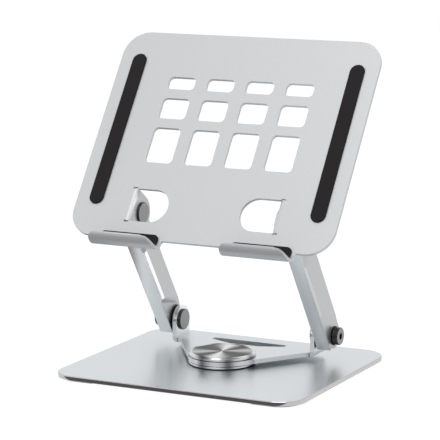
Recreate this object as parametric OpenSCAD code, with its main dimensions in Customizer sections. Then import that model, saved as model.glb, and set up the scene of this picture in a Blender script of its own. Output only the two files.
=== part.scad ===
// Laptop stand of folded sheet metal: base plate, swivel bracket, two channel arms and a tilting tray.
// Millimetres. X right, Y to the back, Z up. The origin is on the floor, on the swivel's axis.

/* [Base plate] */
// Width of the base plate, left to right
base_w = 240; // [220:1:300]
// Depth of the base plate, front to back
base_d = 210; // [190:1:260]
// Thickness of the base plate
base_t = 4; // [3.5:0.5:8]
// Corner radius of the base plate
base_r = 24; // [18:1:40]
// Chamfer round the top edge of the base plate
base_chamfer = 0.6; // [0.2:0.1:1.5]

/* [Rubber feet] */
// Height of the rubber feet
foot_h = 1.5; // [1:0.1:4]
// Width of the rubber foot strips
foot_w = 10; // [6:0.5:13]
// Inset of the foot strips from the edge of the base plate
foot_inset = 4; // [2:0.5:8]
// Length of each straight leg of a foot strip
foot_leg = 16; // [4:1:40]

/* [Swivel] */
// Radius of the swivel's discs and of the bracket's round front
swivel_r = 30.4; // [24:0.2:36]
// Thickness of the black thrust washer on the base plate
thrust_t = 0.9; // [0.6:0.1:2]
// Thickness of the lower steel ring
ring_t = 1.9; // [1:0.1:4]
// Thickness of each slip washer under and over the bracket
slip_t = 0.45; // [0.3:0.05:1]
// Thickness of the cap disc
cap_t = 3.3; // [3:0.1:6]
// Width of the chamfer round the cap disc
cap_chamfer = 1.4; // [0.4:0.1:2]
// Width of the polished rim round the cap's spun face
cap_rim = 1.4; // [0.5:0.1:4]
// Depth of the spun face below the rim
cap_dish = 0.25; // [0.1:0.05:0.6]
// Radius of the spindle that carries the bracket
spindle_r = 9; // [7:0.5:12]
// Radius of the screw that holds the spindle to the base plate
screw_r = 4; // [3:0.5:5]
// Radius of the countersunk head of that screw
screw_head_r = 7.5; // [6:0.5:9]
// Height of the countersunk head
screw_head_h = 3; // [2:0.5:3.5]

/* [Swivel bracket] */
// Sheet thickness of the bracket
bracket_t = 4; // [3:0.5:6]
// Angle between each slanted side of the bracket and the Y axis
bracket_flare = 34; // [30:0.5:38]
// Radius of the rounded ears
ear_r = 13.2; // [12:0.2:18]
// Outer bend radius at the foot of the ears
ear_bend_r = 4.5; // [4:0.1:8]
// Width of the relief notches beside the ears
notch_w = 1.2; // [0.8:0.1:3]
// Depth of the relief notches beside the ears
notch_d = 2.6; // [1:0.2:6]
// Length of the slot's rear edge
slot_rear = 72; // [40:1:90]
// Length of the slot's front edge
slot_front = 42; // [20:1:60]
// Width of the slot, front to back
slot_w = 13; // [6:0.5:20]
// Distance from the slot to the bracket's rear edge
slot_margin = 8; // [5:0.5:16]
// Corner radius of the slot
slot_r = 3; // [1:0.5:5]

/* [Hinges] */
// Distance of the lower hinge behind the swivel's axis
low_y = 54; // [48:0.5:64]
// Height of the lower hinge above the underside of the base plate
low_h = 26.7; // [25:0.1:40]
// Distance from the centre plane to the outer face of the bracket's ears and the tray's tabs
hinge_x = 72.4; // [68:0.2:80]
// Radius of the hinge barrels
barrel_r = 6; // [5:0.2:7]
// Radius of the round head of a barrel nut
nut_r = 9.8; // [8:0.2:11]
// Thickness of the head of a barrel nut
nut_t = 2.25; // [1.5:0.05:4]
// Thickness of the floor left under the thread of a barrel nut
nut_floor = 1.2; // [0.8:0.1:2]
// Radius of the hinge bolts' shanks
bolt_r = 4; // [3:0.2:4.5]
// Radius of the hinge bolts' heads
bolt_head_r = 8.1; // [7.2:0.1:11]
// Height of the hinge bolts' heads
bolt_head_h = 5.6; // [3.5:0.1:8]
// Width of the hexagon socket across its corners
socket_w = 6.6; // [4:0.1:9]
// Depth of the hexagon socket
socket_d = 3; // [1:0.5:4]
// Radius of the black friction washers
washer_r = 12.8; // [9:0.1:13]
// Thickness of the friction washers on the right, those on the left making up the arm's set as well
washer_t = 0.55; // [0.3:0.05:1]
// Radius of the washers under the bolt heads
head_washer_r = 8.8; // [8.4:0.1:10.5]
// Thickness of the washers under the bolt heads
head_washer_t = 0.5; // [0.3:0.1:1]

/* [Arms] */
// Distance between the lower and the upper hinge
arm_len = 135.9; // [120:0.1:180]
// Lean of the arms forward from upright
arm_lean = 34.05; // [20:0.05:45]
// Width of an arm at its hinges
arm_w = 13.6; // [12:0.1:18]
// Sheet thickness of the arms
arm_t = 2.2; // [1.5:0.1:3]
// Radius of the round ends of the arms' side walls
arm_r = 11.7; // [10:0.1:12.5]
// Distance from the hinge line to the front face of an arm
arm_front = 12; // [10.5:0.1:12.5]
// Length of the front wall beyond each hinge
arm_over = 5; // [2:0.5:6]
// Outer radius of the long bends of an arm
arm_bend_r = 2.6; // [1.5:0.1:3.5]
// Set of the right side wall towards the hinges
set_right = 2.7; // [1.5:0.1:4]
// Set of the left side wall towards the hinges
set_left = 1.1; // [0.2:0.1:1.4]
// Outward set of the right side wall's rear edge
set_rear = 0.8; // [0:0.1:1.4]
// Distance from a hinge to the start of the sets, along the arm
set_near = 19; // [18.5:0.5:24]
// Distance from a hinge to the end of the sets, along the arm
set_far = 32; // [26:0.5:40]
// Radius of the spacers inside the arms
spacer_r = 8.6; // [7.5:0.1:9.2]

/* [Tray] */
// Width of the tray
tray_w = 258; // [240:1:320]
// Length of the tray, along its slope
tray_l = 209; // [190:1:260]
// Sheet thickness of the tray
tray_t = 3; // [2:0.5:4]
// Corner radius of the tray
tray_r = 24; // [10:1:40]
// Slope of the tray
tray_tilt = 54.7; // [35:0.1:60]
// Distance up the slope from the tray's lower edge to its hinge
tray_hinge_v = 33; // [30:0.5:42]
// Distance of the hinge behind the tray's front face
tray_hinge_d = 16.7; // [16:0.1:22]
// Radius of the round end of the D-shaped cut-outs
cut_r = 16; // [14:0.2:20]
// Distance from the centre plane to the round end of a cut-out
cut_x = 35.5; // [24:0.5:44]
// Gap between a cut-out's edge and the folded tab's edge
tab_trim = 0.5; // [0.2:0.1:2]
// Outer bend radius of the folded tabs
tab_bend_r = 5; // [4.5:0.1:7]
// Depth of the relief notches at the ends of the folds
tab_notch_d = 1.2; // [0.5:0.1:3]
// Length of the relief notches across the fold
tab_notch_l = 4.5; // [3:0.5:8]
// Distance the relief notches reach past the fold
tab_notch_past = 1; // [0.5:0.1:2]

/* [Vents] */
// Width of each vent
vent_w = 27.4; // [15:0.2:32]
// Distance between neighbouring vents, centre to centre
vent_pitch = 39.4; // [34:0.2:46]
// Distance up the slope to the lowest vents
vent_v = 75.8; // [65:0.2:85]
// Height of the lowest vents
vent_h1 = 35.4; // [15:0.2:38]
// Height of the middle vents
vent_h2 = 21; // [10:0.2:24]
// Height of the highest vents
vent_h3 = 12.6; // [10:0.2:16]
// Gap between one row of vents and the next
vent_gap = 9.4; // [5:0.2:14]
// Corner radius of the vents
vent_r = 4.5; // [1:0.1:4.9]

/* [Grip strips] */
// Width of each grip strip
strip_w = 14; // [8:0.5:18]
// Length of each grip strip
strip_l = 154.8; // [100:0.5:165]
// Thickness of each grip strip
strip_t = 1.5; // [1:0.1:3]
// Chamfer round the edge of a grip strip
strip_chamfer = 0.4; // [0.2:0.1:0.8]
// Distance from the tray's side edge to the middle of a grip strip
strip_inset = 19.8; // [12:0.2:24]
// Distance of the strips' middle above the tray's middle
strip_up = 3.5; // [-5:0.5:5]

/* [Front hooks] */
// Width of each hook
hook_w = 64.5; // [40:0.5:68]
// Distance from the centre plane to the middle of a hook
hook_x = 64.75; // [56:0.25:68]
// Inner radius of the hooks
hook_r = 7.5; // [6:0.1:12]
// Sweep of the hooks' round part
hook_sweep = 163; // [140:1:168]
// Corner radius of the hooks' free edge
hook_corner = 7; // [3:0.5:9]
// Radius of the fillets where the hooks leave the tray
hook_fillet = 2; // [1:0.5:3]
// Thickness of the rubber liner in each hook
liner_t = 1.4; // [0.8:0.1:2.5]
// Inset of the liner from the ends of its hook
liner_inset = 2.8; // [1:0.2:6]
// Height of the liner on the tray's face
liner_rise = 5; // [3:0.5:8]
// Corner radius of the liner
liner_r = 5.5; // [3:0.5:7]

/* [Clearances] */
// Radial clearance of the turning fits
run_gap = 0.05; // [0.02:0.01:0.1]
// Side clearance between faces that turn on each other
play = 0.05; // [0.02:0.01:0.1]

/* [Hidden] */
$fn = 72;
eps = 1;

// Heights of the swivel stack, from the floor up
base_top = foot_h + base_t;
ring_z = base_top + thrust_t;
low_slip_z = ring_z + ring_t;
bracket_z = low_slip_z + slip_t + play;
bracket_top = bracket_z + bracket_t;
top_slip_z = bracket_top + play;
cap_z = top_slip_z + slip_t;
cap_top = cap_z + cap_t;
screw_tip_z = cap_z + cap_t / 3;
slip_r = swivel_r - 1.2;

// Hinge lines
low_z = foot_h + low_h;
high_y = low_y - arm_len * sin(arm_lean);
high_z = low_z + arm_len * cos(arm_lean);

// Bracket outline
ear_in = hinge_x - bracket_t;
ear_bend_x = hinge_x - ear_bend_r;
ear_front = low_y - ear_r;
ear_rear = low_y + ear_r;
side_x = swivel_r * cos(bracket_flare);
side_y = -swivel_r * sin(bracket_flare);
plate_front_x = side_x + (ear_front - side_y) * tan(bracket_flare);

// Stack across each hinge, measured outwards from the centre plane. Both arms are the same part, so the
// side wall with the deeper set lies outboard on the right arm and inboard on the left arm.
left_washer_t = washer_t + set_right - set_left;
right_arm_x = hinge_x + washer_t + play;
left_arm_x = hinge_x + left_washer_t + play;
right_seat_x = right_arm_x + arm_w + play + head_washer_t;
left_seat_x = left_arm_x + arm_w + play + head_washer_t;
barrel_back = head_washer_t / 2;
inner_bend_r = max(arm_bend_r - arm_t, 0.3);

// Tray
tab_in = hinge_x - tray_t;
fold_x = tab_in + tab_bend_r;
tab_r = cut_r - tab_trim;
tab_washer_r = min(washer_r, tray_hinge_d - tab_bend_r - 0.1);
hook_outer = hook_r + tray_t;

// ---------- helpers ----------

// Extrudes a YZ outline from x0 to x1
module along_x(x0, x1) {
    translate([x0, 0, 0]) rotate([90, 0, 90]) linear_extrude(x1 - x0) children();
}

// Extrudes an XZ outline from y0 to y1
module along_y(y0, y1) {
    translate([0, y1, 0]) rotate([90, 0, 0]) linear_extrude(y1 - y0) children();
}

module both_sides() {
    children();
    mirror([1, 0, 0]) children();
}

// Rectangle centred on the origin with round corners
module rounded_rect(w, h, r) {
    square([w - 2 * r, h], center = true);
    square([w, h - 2 * r], center = true);
    for (x = [-1, 1], y = [-1, 1])
        translate([x * (w / 2 - r), y * (h / 2 - r)]) circle(r);
}

// Plate on z = 0 with round corners and a chamfer round its top edge
module chamfered_plate(w, d, t, r, c) {
    along_y(r - d / 2, d / 2 - r) polygon(chamfered_profile(w / 2, t, c));
    along_x(r - w / 2, w / 2 - r) polygon(chamfered_profile(d / 2, t, c));
    for (x = [-1, 1], y = [-1, 1]) translate([x * (w / 2 - r), y * (d / 2 - r), 0]) chamfered_disc(r, t, c);
}

// Section of a plate that reaches half to each side, chamfered at its two top edges
function chamfered_profile(half, t, c) = [
    [-half, 0], [half, 0], [half, t - c], [half - c, t], [c - half, t], [-half, t - c]
];

module chamfered_disc(r, t, c) {
    rotate_extrude() polygon([[0, 0], [r, 0], [r, t - c], [r - c, t], [0, t]]);
}

// Quarter turn about a centre, in short steps
function quarter(centre, r, from) = [for (a = [0 : 10 : 90]) centre + r * [cos(from + a), sin(from + a)]];

function unit(v) = v / norm(v);

// Convex outline through the given corners, each rounded to radius r
module rounded_outline(points, r) {
    n = len(points);
    legs = [
        for (i = [0 : n - 1])
            let (p = points[i])
                [p, unit(points[(i + n - 1) % n] - p), unit(points[(i + 1) % n] - p)]
    ];
    polygon([
        for (g = legs)
            let (t = r * sqrt((1 + g[1] * g[2]) / (1 - g[1] * g[2])))
                each [g[0] + g[1] * t, g[0] + g[2] * t]
    ]);
    for (g = legs)
        translate(g[0] + unit(g[1] + g[2]) * r / sqrt((1 - g[1] * g[2]) / 2)) circle(r);
}

// Cylinder along X from x0 to x1
module rod_x(x0, x1, r) {
    translate([x0, 0, 0]) rotate([0, 90, 0]) cylinder(h = x1 - x0, r = r);
}

module ring_x(x0, x1, r_out, r_in) {
    difference() {
        rod_x(x0, x1, r_out);
        rod_x(x0 - eps, x1 + eps, r_in);
    }
}

module at_low_hinge() {
    translate([0, low_y, low_z]) children();
}

module at_high_hinge() {
    translate([0, high_y, high_z]) children();
}

// Tray frame: X across, Y up the slope from the lower edge, Z out of the front face
module in_tray() {
    at_high_hinge() rotate([tray_tilt, 0, 0]) translate([0, -tray_hinge_v, tray_hinge_d]) children();
}

// ---------- base ----------

module base_plate() {
    color("silver") difference() {
        translate([0, 0, foot_h]) chamfered_plate(base_w, base_d, base_t, base_r, base_chamfer);
        translate([0, 0, foot_h - eps]) cylinder(h = base_t + 2 * eps, r = screw_r);
        translate([0, 0, foot_h - eps]) cylinder(h = eps, r = screw_head_r);
        translate([0, 0, foot_h]) cylinder(h = screw_head_h, r1 = screw_head_r, r2 = screw_r);
    }
}

// Strip that follows one corner of the base plate, x and y being the corner's signs
module corner_foot(x, y) {
    bend_r = base_r - foot_inset;
    color([0.1, 0.1, 0.1])
    mirror([x < 0 ? 1 : 0, 0, 0]) mirror([0, y < 0 ? 1 : 0, 0])
    translate([base_w / 2 - base_r, base_d / 2 - base_r, 0]) linear_extrude(foot_h) {
        intersection() {
            difference() {
                circle(bend_r);
                circle(bend_r - foot_w);
            }
            square(base_r);
        }
        translate([-foot_leg, bend_r - foot_w]) square([foot_leg, foot_w]);
        translate([-foot_leg, bend_r - foot_w / 2]) circle(foot_w / 2);
        translate([bend_r - foot_w, -foot_leg]) square([foot_w, foot_leg]);
        translate([bend_r - foot_w / 2, -foot_leg]) circle(foot_w / 2);
    }
}

// ---------- swivel ----------

module swivel_washer(z, t, r) {
    translate([0, 0, z]) difference() {
        cylinder(h = t, r = r);
        translate([0, 0, -eps]) cylinder(h = t + 2 * eps, r = spindle_r + run_gap);
    }
}

module thrust_washer() {
    color([0.1, 0.1, 0.1]) swivel_washer(base_top, thrust_t, swivel_r - 0.2);
}

module lower_ring() {
    edge = 0.3;
    color("gainsboro") translate([0, 0, ring_z]) rotate_extrude()
        polygon([
            [spindle_r + run_gap, 0], [swivel_r - edge, 0], [swivel_r, edge],
            [swivel_r, ring_t - edge], [swivel_r - edge, ring_t], [spindle_r + run_gap, ring_t]
        ]);
}

module lower_slip_washer() {
    color([0.15, 0.15, 0.15]) swivel_washer(low_slip_z, slip_t, slip_r);
}

module upper_slip_washer() {
    color([0.15, 0.15, 0.15]) swivel_washer(top_slip_z, slip_t, slip_r);
}

// Cap disc and spindle turned in one piece, with a blind thread for the pivot screw
module swivel_cap() {
    face_r = swivel_r - cap_chamfer - cap_rim;
    edge = 0.3;
    color("gainsboro") rotate_extrude()
        polygon([
            [0, screw_tip_z], [screw_r, screw_tip_z], [screw_r, base_top], [spindle_r, base_top],
            [spindle_r, cap_z], [swivel_r - edge, cap_z], [swivel_r, cap_z + edge],
            [swivel_r, cap_top - cap_chamfer], [swivel_r - cap_chamfer, cap_top],
            [face_r, cap_top], [face_r - cap_dish, cap_top - cap_dish], [0, cap_top - cap_dish]
        ]);
}

module pivot_screw() {
    color("dimgray") difference() {
        union() {
            translate([0, 0, foot_h]) cylinder(h = screw_head_h, r1 = screw_head_r, r2 = screw_r);
            translate([0, 0, foot_h]) cylinder(h = screw_tip_z - 0.5 - foot_h, r = screw_r);
        }
        translate([0, 0, foot_h - eps]) cylinder(h = socket_d + eps, d = socket_w, $fn = 6);
    }
}

// ---------- swivel bracket ----------

module bracket_outline() {
    circle(swivel_r);
    polygon([
        [side_x, side_y], [plate_front_x, ear_front], [ear_bend_x, ear_front], [ear_bend_x, ear_rear],
        [-ear_bend_x, ear_rear], [-ear_bend_x, ear_front], [-plate_front_x, ear_front], [-side_x, side_y]
    ]);
}

module bracket_slot() {
    rear = ear_rear - slot_margin;
    rounded_outline([
        [-slot_rear / 2, rear], [slot_rear / 2, rear],
        [slot_front / 2, rear - slot_w], [-slot_front / 2, rear - slot_w]
    ], slot_r);
}

// Bend and rounded ear on the right
module bracket_ear() {
    along_y(ear_front, ear_rear) translate([ear_bend_x, bracket_z + ear_bend_r]) intersection() {
        difference() {
            circle(ear_bend_r);
            circle(ear_bend_r - bracket_t);
        }
        translate([0, -ear_bend_r]) square(ear_bend_r);
    }
    along_x(ear_in, hinge_x) {
        translate([ear_front, bracket_z + ear_bend_r])
            square([ear_rear - ear_front, low_z - bracket_z - ear_bend_r]);
        translate([low_y, low_z]) circle(ear_r);
    }
}

module swivel_bracket() {
    color("silver") difference() {
        union() {
            translate([0, 0, bracket_z]) linear_extrude(bracket_t) bracket_outline();
            both_sides() bracket_ear();
        }
        translate([0, 0, bracket_z - eps]) cylinder(h = bracket_t + 2 * eps, r = spindle_r + run_gap);
        translate([0, 0, bracket_z - eps]) linear_extrude(bracket_t + 2 * eps) bracket_slot();
        for (y = [ear_front, ear_rear]) both_sides()
            translate([ear_bend_x - notch_w, y - notch_d, bracket_z - eps])
                cube([notch_w, 2 * notch_d, bracket_t + 2 * eps]);
        at_low_hinge() rod_x(-hinge_x - eps, hinge_x + eps, barrel_r + run_gap);
    }
}

// ---------- hinge hardware, drawn about the hinge line on the right-hand side ----------

// Round head against the inner face, barrel through the hinge and a blind thread for the bolt
module barrel_nut(inner_x, seat_x) {
    edge = 0.5;
    end_x = seat_x - barrel_back;
    rotate([0, 90, 0]) rotate_extrude() polygon([
        [0, inner_x - nut_t], [nut_r - edge, inner_x - nut_t], [nut_r, inner_x - nut_t + edge],
        [nut_r, inner_x], [barrel_r, inner_x], [barrel_r, end_x],
        [bolt_r, end_x], [bolt_r, inner_x - nut_t + nut_floor], [0, inner_x - nut_t + nut_floor]
    ]);
}

module barrel_nuts(inner_x) {
    color("gray") {
        barrel_nut(inner_x, right_seat_x);
        mirror([1, 0, 0]) barrel_nut(inner_x, left_seat_x);
    }
}

module hinge_bolt(seat_x) {
    edge = 0.5;
    tip_x = hinge_x - tray_t / 2;
    head_x = seat_x + bolt_head_h;
    difference() {
        rotate([0, 90, 0]) rotate_extrude() polygon([
            [0, tip_x], [bolt_r, tip_x], [bolt_r, seat_x], [bolt_head_r, seat_x],
            [bolt_head_r, head_x - edge], [bolt_head_r - edge, head_x], [0, head_x]
        ]);
        translate([head_x - socket_d, 0, 0]) rotate([0, 90, 0])
            cylinder(h = socket_d + eps, d = socket_w, $fn = 6);
    }
}

module hinge_bolts() {
    color("gray") {
        hinge_bolt(right_seat_x);
        mirror([1, 0, 0]) hinge_bolt(left_seat_x);
    }
}

module friction_washers(r) {
    color([0.1, 0.1, 0.1]) {
        ring_x(hinge_x, hinge_x + washer_t, r, barrel_r + run_gap);
        mirror([1, 0, 0]) ring_x(hinge_x, hinge_x + left_washer_t, r, barrel_r + run_gap);
    }
}

module head_washers() {
    color([0.1, 0.1, 0.1]) {
        ring_x(right_seat_x - head_washer_t, right_seat_x, head_washer_r, barrel_r + run_gap);
        mirror([1, 0, 0]) ring_x(left_seat_x - head_washer_t, left_seat_x, head_washer_r, barrel_r + run_gap);
    }
}

module spacers() {
    color("gray") {
        ring_x(right_arm_x + arm_t, right_arm_x + arm_w - arm_t, spacer_r, barrel_r + run_gap);
        mirror([1, 0, 0])
            ring_x(left_arm_x + arm_t, left_arm_x + arm_w - arm_t, spacer_r, barrel_r + run_gap);
    }
}

// ---------- arms, drawn upright: X across from the left wall, Y behind the hinge line, Z up ----------

// Side view of an arm: square-ended front wall, round ends about the hinges
module arm_side() {
    translate([-arm_front, -arm_over]) square([arm_front, arm_len + 2 * arm_over]);
    square([arm_r, arm_len]);
    circle(arm_r);
    translate([0, arm_len]) circle(arm_r);
}

// Heights on the hinge line at which the side walls change direction, the share of the sets reached there
// and the way the line across the wall leans from that height
arm_stations = [
    [-3 * arm_r, 0, 0], [set_near, 0, -1], [set_far, 1, -1],
    [arm_len - set_far, 1, 1], [arm_len - set_near, 0, 1], [arm_len + 3 * arm_r, 0, 0]
];

// Point of an arm's section at one station, depth n behind the hinge line
function arm_point(x, n, station) = [x, n, station[0] + station[2] * n];

// Right side wall's face at depth n
function arm_right(n, station) =
    arm_w + station[1] * (set_rear + (set_right - set_rear) * (arm_r - n) / (arm_r + arm_front));

// Section across an arm, inset by t from its outer faces, with front corners of radius r
function arm_section(station, t, r) =
    let (
        rear = 2 * arm_r + t,
        n = t + r - arm_front,
        left = t - set_left * station[1],
        right = arm_right(n, station) - t
    )
        [
            for (p = concat(
                [[arm_right(rear, station) - t, rear], [left, rear]],
                quarter([left + r, n], r, 180),
                quarter([right - r, n], r, 270)
            )) arm_point(p[0], p[1], station)
        ];

// Solid bar with the arm's outer faces, or with its inner faces when inset by the sheet's thickness
module arm_bar(t, r) {
    sections = [for (station = arm_stations) arm_section(station, t, r)];
    n = len(sections[0]);
    last = len(sections) - 1;
    polyhedron(
        points = [for (section = sections) each section],
        faces = concat(
            [[for (i = [0 : n - 1]) i]],
            [
                for (j = [0 : last - 1], i = [0 : n - 1])
                    let (k = (i + 1) % n)
                        each [
                            [j * n + i, (j + 1) * n + i, (j + 1) * n + k],
                            [j * n + i, (j + 1) * n + k, j * n + k]
                        ]
            ],
            [[for (i = [n - 1 : -1 : 0]) last * n + i]]
        )
    );
}

module arm() {
    difference() {
        intersection() {
            arm_bar(0, arm_bend_r);
            along_x(-arm_w, 2 * arm_w) arm_side();
        }
        arm_bar(arm_t, inner_bend_r);
        for (z = [-arm_over - arm_r, arm_len + arm_over])
            translate([arm_t, -arm_front - eps, z]) cube([arm_w - 2 * arm_t, arm_t + 2 * eps, arm_r]);
        for (z = [0, arm_len])
            translate([0, 0, z]) rod_x(-eps, arm_w + eps, barrel_r + run_gap);
    }
}

module place_arm(x) {
    color("silver") at_low_hinge() rotate([arm_lean, 0, 0]) translate([x, 0, 0]) arm();
}

// ---------- tray ----------

module vents() {
    rows = [
        [vent_v, vent_h1],
        [vent_v + vent_h1 + vent_gap, vent_h2],
        [vent_v + vent_h1 + vent_h2 + 2 * vent_gap, vent_h3]
    ];
    for (row = rows, column = [-1.5 : 1.5])
        translate([column * vent_pitch, row[0] + row[1] / 2]) rounded_rect(vent_w, row[1], vent_r);
}

// Right D-shaped cut-out with the notches that end its fold
module tab_cut_out() {
    translate([cut_x + cut_r, tray_hinge_v]) circle(cut_r);
    translate([cut_x + cut_r, tray_hinge_v - cut_r]) square([fold_x - cut_x - cut_r, 2 * cut_r]);
    for (v = [tray_hinge_v + tab_r, tray_hinge_v - cut_r - tab_notch_d])
        translate([fold_x + tab_notch_past - tab_notch_l, v]) square([tab_notch_l, tab_trim + tab_notch_d]);
}

// Right tab: a quarter bend, then a flat ear about the hinge
module tray_tab() {
    along_y(tray_hinge_v - tab_r, tray_hinge_v + tab_r) translate([fold_x, -tab_bend_r]) intersection() {
        difference() {
            circle(tab_bend_r);
            circle(tab_bend_r - tray_t);
        }
        translate([-tab_bend_r, 0]) square(tab_bend_r);
    }
    along_x(tab_in, hinge_x) {
        translate([tray_hinge_v - tab_r, -tray_hinge_d]) square([2 * tab_r, tray_hinge_d - tab_bend_r]);
        translate([tray_hinge_v, -tray_hinge_d]) circle(tab_r);
    }
}

// Side view of a band round the hook's axis. Angle 0 points at the tray's face and 90 down its slope.
module hook_sector(r0, r1, from, to) {
    translate([0, hook_r]) intersection() {
        difference() {
            circle(r1);
            circle(r0);
        }
        polygon([[0, 0], for (a = [from, (from + to) / 2, to]) -2 * r1 * [sin(a), cos(a)]]);
    }
}

// Outline below y = 0 with round upper corners
module free_edge(w, drop, r) {
    polygon(concat(
        [[-w / 2, -drop], [w / 2, -drop]],
        quarter([w / 2 - r, -r], r, 0),
        quarter([r - w / 2, -r], r, 90)
    ));
}

// Takes the corners off the free edge of a hook's band, rounded as seen square on to that edge
module free_edge_cuts(r0, w, corner) {
    r = min(corner, r0 * sin(hook_sweep - 90) - 0.1);
    past = 0.04;
    x = w / 2 - r + past;
    v = past - r;
    translate([0, 0, hook_r]) rotate([180 - hook_sweep, 0, 0]) linear_extrude(2 * hook_outer)
        for (side = [0, 1]) mirror([side, 0]) polygon(concat(
            quarter([x, v], r, 0),
            [[x, eps], [w / 2 + 2 * eps, eps], [w / 2 + 2 * eps, v]]
        ));
}

// Round band of one hook, filleted on each side where it leaves the tray's straight edge
module hook() {
    r = min(hook_fillet, hook_r * cos(hook_sweep - 90) - 0.1);
    edge_x = hook_w / 2;
    low_v = -hook_outer - eps;
    difference() {
        along_x(-edge_x - r - eps / 2, edge_x + r + eps / 2) hook_sector(hook_r, hook_outer, 0, hook_sweep);
        translate([0, 0, -tray_t - eps]) linear_extrude(3 * hook_outer)
            for (side = [0, 1]) mirror([side, 0]) polygon(concat(
                quarter([edge_x + r, -r], r, 90),
                [[edge_x, low_v], [edge_x + r + eps, low_v], [edge_x + r + eps, eps], [edge_x + r, eps]]
            ));
        free_edge_cuts(hook_r, hook_w, hook_corner);
    }
}

module tray() {
    color("silver") in_tray() difference() {
        union() {
            translate([0, 0, -tray_t]) linear_extrude(tray_t) difference() {
                translate([0, tray_l / 2]) rounded_rect(tray_w, tray_l, tray_r);
                vents();
                both_sides() tab_cut_out();
            }
            both_sides() {
                tray_tab();
                translate([hook_x, 0, 0]) hook();
            }
        }
        translate([0, tray_hinge_v, -tray_hinge_d]) rod_x(-hinge_x - eps, hinge_x + eps, barrel_r + run_gap);
    }
}

// Full-round strip on the tray's face, chamfered round its edge
module grip_strip(side) {
    r = strip_w / 2;
    run = strip_l / 2 - r;
    color([0.15, 0.14, 0.14]) in_tray()
        translate([side * (tray_w / 2 - strip_inset), tray_l / 2 + strip_up, 0]) {
            along_y(-run, run) polygon(chamfered_profile(r, strip_t, strip_chamfer));
            for (y = [-run, run]) translate([0, y, 0]) chamfered_disc(r, strip_t, strip_chamfer);
        }
}

// Rubber liner: a short leg on the tray's face and a round band inside the hook
module hook_liner(side) {
    w = hook_w - 2 * liner_inset;
    inner_r = hook_r - liner_t;
    color([0.15, 0.14, 0.14]) in_tray() translate([side * hook_x, 0, 0]) {
        difference() {
            along_x(-w / 2, w / 2) hook_sector(inner_r, hook_r, 0, hook_sweep);
            free_edge_cuts(inner_r, w, liner_r);
        }
        linear_extrude(liner_t) translate([0, liner_rise])
            free_edge(w, liner_rise, min(liner_r, liner_rise - 0.2));
    }
}

// ---------- parts ----------

base_plate();
corner_foot(-1, -1);  // front_left_foot
corner_foot(1, -1);  // front_right_foot
corner_foot(-1, 1);  // rear_left_foot
corner_foot(1, 1);  // rear_right_foot
thrust_washer();
lower_ring();
lower_slip_washer();
upper_slip_washer();
swivel_cap();
pivot_screw();
swivel_bracket();
at_low_hinge() barrel_nuts(ear_in);  // lower_barrel_nuts
at_low_hinge() hinge_bolts();  // lower_hinge_bolts
at_low_hinge() friction_washers(washer_r);  // lower_friction_washers
at_low_hinge() head_washers();  // lower_head_washers
place_arm(-left_arm_x - arm_w);  // left_arm
place_arm(right_arm_x);  // right_arm
at_low_hinge() spacers();  // lower_spacers
at_high_hinge() spacers();  // upper_spacers
tray();
grip_strip(-1);  // left_grip_strip
grip_strip(1);  // right_grip_strip
hook_liner(-1);  // left_hook_liner
hook_liner(1);  // right_hook_liner
at_high_hinge() barrel_nuts(tab_in);  // upper_barrel_nuts
at_high_hinge() hinge_bolts();  // upper_hinge_bolts
at_high_hinge() friction_washers(tab_washer_r);  // upper_friction_washers
at_high_hinge() head_washers();  // upper_head_washers
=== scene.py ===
"""Laptop stand of sandblasted aluminium: its finishes, its arms, the cuts in its sheet and its stage."""

import math

import bmesh
import bpy
from mathutils import Matrix, Vector


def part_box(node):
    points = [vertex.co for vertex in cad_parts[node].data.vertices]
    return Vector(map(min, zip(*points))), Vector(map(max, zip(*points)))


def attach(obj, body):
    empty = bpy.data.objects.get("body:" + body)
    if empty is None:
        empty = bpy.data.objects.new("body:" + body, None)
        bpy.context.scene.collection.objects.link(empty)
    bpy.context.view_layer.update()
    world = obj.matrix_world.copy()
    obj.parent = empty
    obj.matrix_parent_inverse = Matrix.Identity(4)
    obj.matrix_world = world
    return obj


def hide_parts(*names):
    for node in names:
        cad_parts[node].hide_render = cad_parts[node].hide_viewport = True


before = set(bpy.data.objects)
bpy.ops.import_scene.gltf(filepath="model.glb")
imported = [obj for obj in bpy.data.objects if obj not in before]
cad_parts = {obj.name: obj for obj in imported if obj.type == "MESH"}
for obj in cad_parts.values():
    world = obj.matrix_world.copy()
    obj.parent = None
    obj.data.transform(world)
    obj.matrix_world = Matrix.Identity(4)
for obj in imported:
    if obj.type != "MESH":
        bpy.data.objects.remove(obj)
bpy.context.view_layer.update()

bl_info = {
    "name": "Laptop stand finishes",
    "version": (1, 0, 0),
    "blender": (4, 5, 0),
    "location": "View3D > Sidebar > Laptop Stand",
    "description": "Finishes the parts of a folding laptop stand, builds its arms and sets its stage",
    "category": "Object",
}

FEET = ("front_left_foot", "front_right_foot", "rear_left_foot", "rear_right_foot")
BLACK_WASHERS = (
    "thrust_washer", "lower_slip_washer", "upper_slip_washer",
    "lower_friction_washers", "lower_head_washers",
    "upper_friction_washers", "upper_head_washers",
)
NUTS = ("lower_barrel_nuts", "upper_barrel_nuts")
BOLTS = ("lower_hinge_bolts", "upper_hinge_bolts", "pivot_screw")
SPACERS = ("lower_spacers", "upper_spacers")
GRIP_STRIPS = ("left_grip_strip", "right_grip_strip")

WHITE = (1.0, 1.0, 1.0, 1.0)
# Finishes of the plates and of the arms, as values for blasted_metal
SATIN_PLATE = {"roughness": 0.30, "metallic": 0.9, "speckle": 0.02}
SATIN_ARM = {"roughness": 0.34, "metallic": 0.9, "speckle": 0.02}
# Least part of a face's normal along an axis for the face to count as square to it
SQUARE = 0.8
# Painted reflection: soft dark bands on the turned side walls, where polished metal would mirror dark
# surroundings: direction in degrees, sharpness and depth
PAINTED_REFLECTION_BANDS = ((-101.0, 30.0, 0.8), (-53.0, 50.0, 0.8), (-5.0, 60.0, 0.5))
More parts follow.
